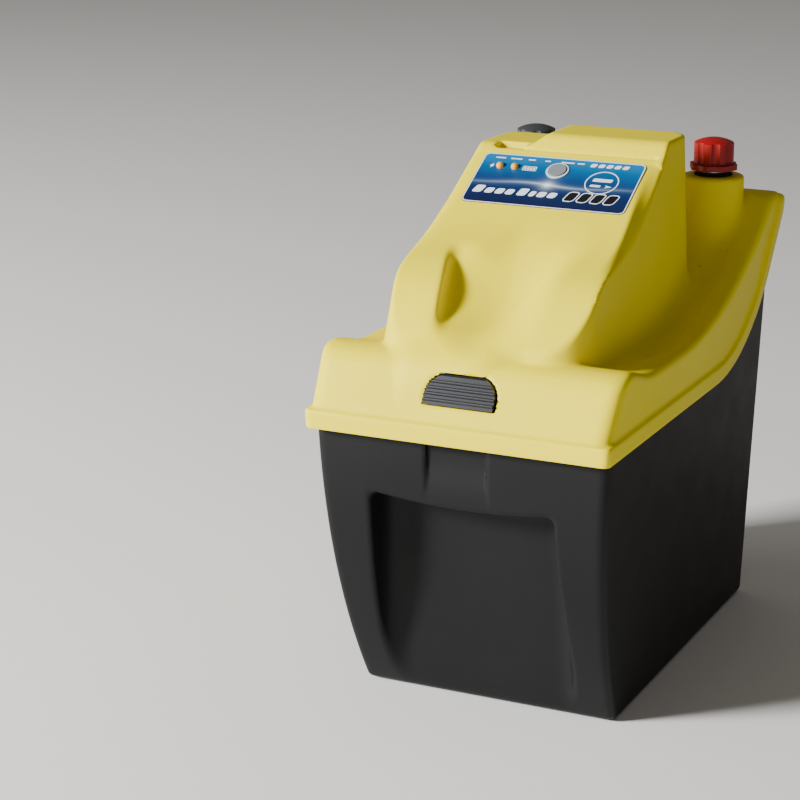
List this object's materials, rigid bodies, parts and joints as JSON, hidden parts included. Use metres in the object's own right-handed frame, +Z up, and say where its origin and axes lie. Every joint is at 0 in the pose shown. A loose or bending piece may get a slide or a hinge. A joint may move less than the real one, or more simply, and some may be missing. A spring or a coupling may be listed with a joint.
{
  "type": "battery fence energizer",
  "caption": "Box-shaped battery fence energizer: tapered tub, hinged hood lid with sloped control panel, push latch and two screw clamp terminals.",
  "frame": {"origin": "centre of the overall box on the resting plane under the tub", "axes": "+Z up, -Y towards the latch, +X to the red terminal's side"},
  "size_m": [0.2132, 0.325, 0.345],
  "materials": {
    "tub_plastic": "fine moulded grain",
    "lid_plastic": "satin moulded",
    "label_film": "printed film",
    "ring_plastic": "satin",
    "led_amber": "clear tinted",
    "circuit_board": "lacquered board",
    "steel": "zinc plated",
    "black_plastic": "matt",
    "core_steel": "varnished laminations",
    "coil_wire": "varnished winding under tape",
    "capacitor_case": "satin",
    "green_plastic": "satin",
    "lead_sheath": "satin",
    "rubber": "matt",
    "brass": "turned",
    "latch_plastic": "ribbed, satin",
    "button_plastic": "satin",
    "red_plastic": "satin",
    "grey_plastic": "satin"
  },
  "bodies": {
    "tub": {"battery_tub": "tub_plastic", "hinge_pins": "steel"},
    "lid": {"lid_shell": "lid_plastic", "label_panel": "label_film", "button_ring": "ring_plastic", "led_pulse": "led_amber", "led_battery": "led_amber", "panel_board": "circuit_board", "panel_board_screws": "steel", "power_switch": "black_plastic", "inner_cover": "black_plastic", "inner_cover_screws": "steel", "main_board": "circuit_board", "main_board_screws": "steel", "transformer_core": "core_steel", "transformer_coil": "coil_wire", "storage_capacitor": "capacitor_case", "thyristor": "black_plastic", "board_terminals": "green_plastic", "output_leads": "lead_sheath", "battery_lead_grommet": "rubber", "terminal_stud_red": "brass", "terminal_stud_grey": "brass", "stud_nuts": "brass", "terminal_collars": "rubber", "latch_spring": "steel"},
    "latch": {"latch_button": "latch_plastic"},
    "power": {"power_button": "button_plastic"},
    "washer_red": {"clamp_washer_red": "steel"},
    "washer_grey": {"clamp_washer_grey": "steel"},
    "knob_red": {"knob_red": "red_plastic", "knob_insert_red": "brass"},
    "knob_grey": {"knob_grey": "grey_plastic", "knob_insert_grey": "brass"}
  },
  "joints": [
    {"name": "lid_hinge", "type": "hinge", "parent": "tub", "child": "lid", "pos_m": [0, 0.1505, 0.247], "axis": [-1, 0, 0], "range_deg": [0, 105]},
    {"name": "latch_press", "type": "slide", "parent": "lid", "child": "latch", "axis": [0, 1, 0], "range_m": [0, 0.0042], "stiffness_N_per_m": 500, "springref_m": -0.003, "deforming": ["latch_spring"]},
    {"name": "power_press", "type": "slide", "parent": "lid", "child": "power", "axis": [0, 0.4924, -0.8704], "range_m": [0, 0.0014], "stiffness_N_per_m": 1500, "springref_m": -0.0008},
    {"name": "washer_red_lift", "type": "slide", "parent": "lid", "child": "washer_red", "axis": [0, 0, 1], "range_m": [0, 0.004]},
    {"name": "washer_grey_lift", "type": "slide", "parent": "lid", "child": "washer_grey", "axis": [0, 0, 1], "range_m": [0, 0.004]},
    {"name": "knob_red_turn", "type": "hinge", "parent": "washer_red", "child": "knob_red", "pos_m": [0.065, 0.1245, 0.316], "axis": [0, 0, 1], "range_deg": [0, 1440]},
    {"name": "knob_grey_turn", "type": "hinge", "parent": "washer_grey", "child": "knob_grey", "pos_m": [-0.065, 0.1245, 0.316], "axis": [0, 0, 1], "range_deg": [0, 1440]}
  ],
  "couplings": [
    {"joint": "knob_red_turn", "follows": "washer_red_lift", "rad_per_m": 6283.2},
    {"joint": "knob_grey_turn", "follows": "washer_grey_lift", "rad_per_m": 6283.2}
  ]
}
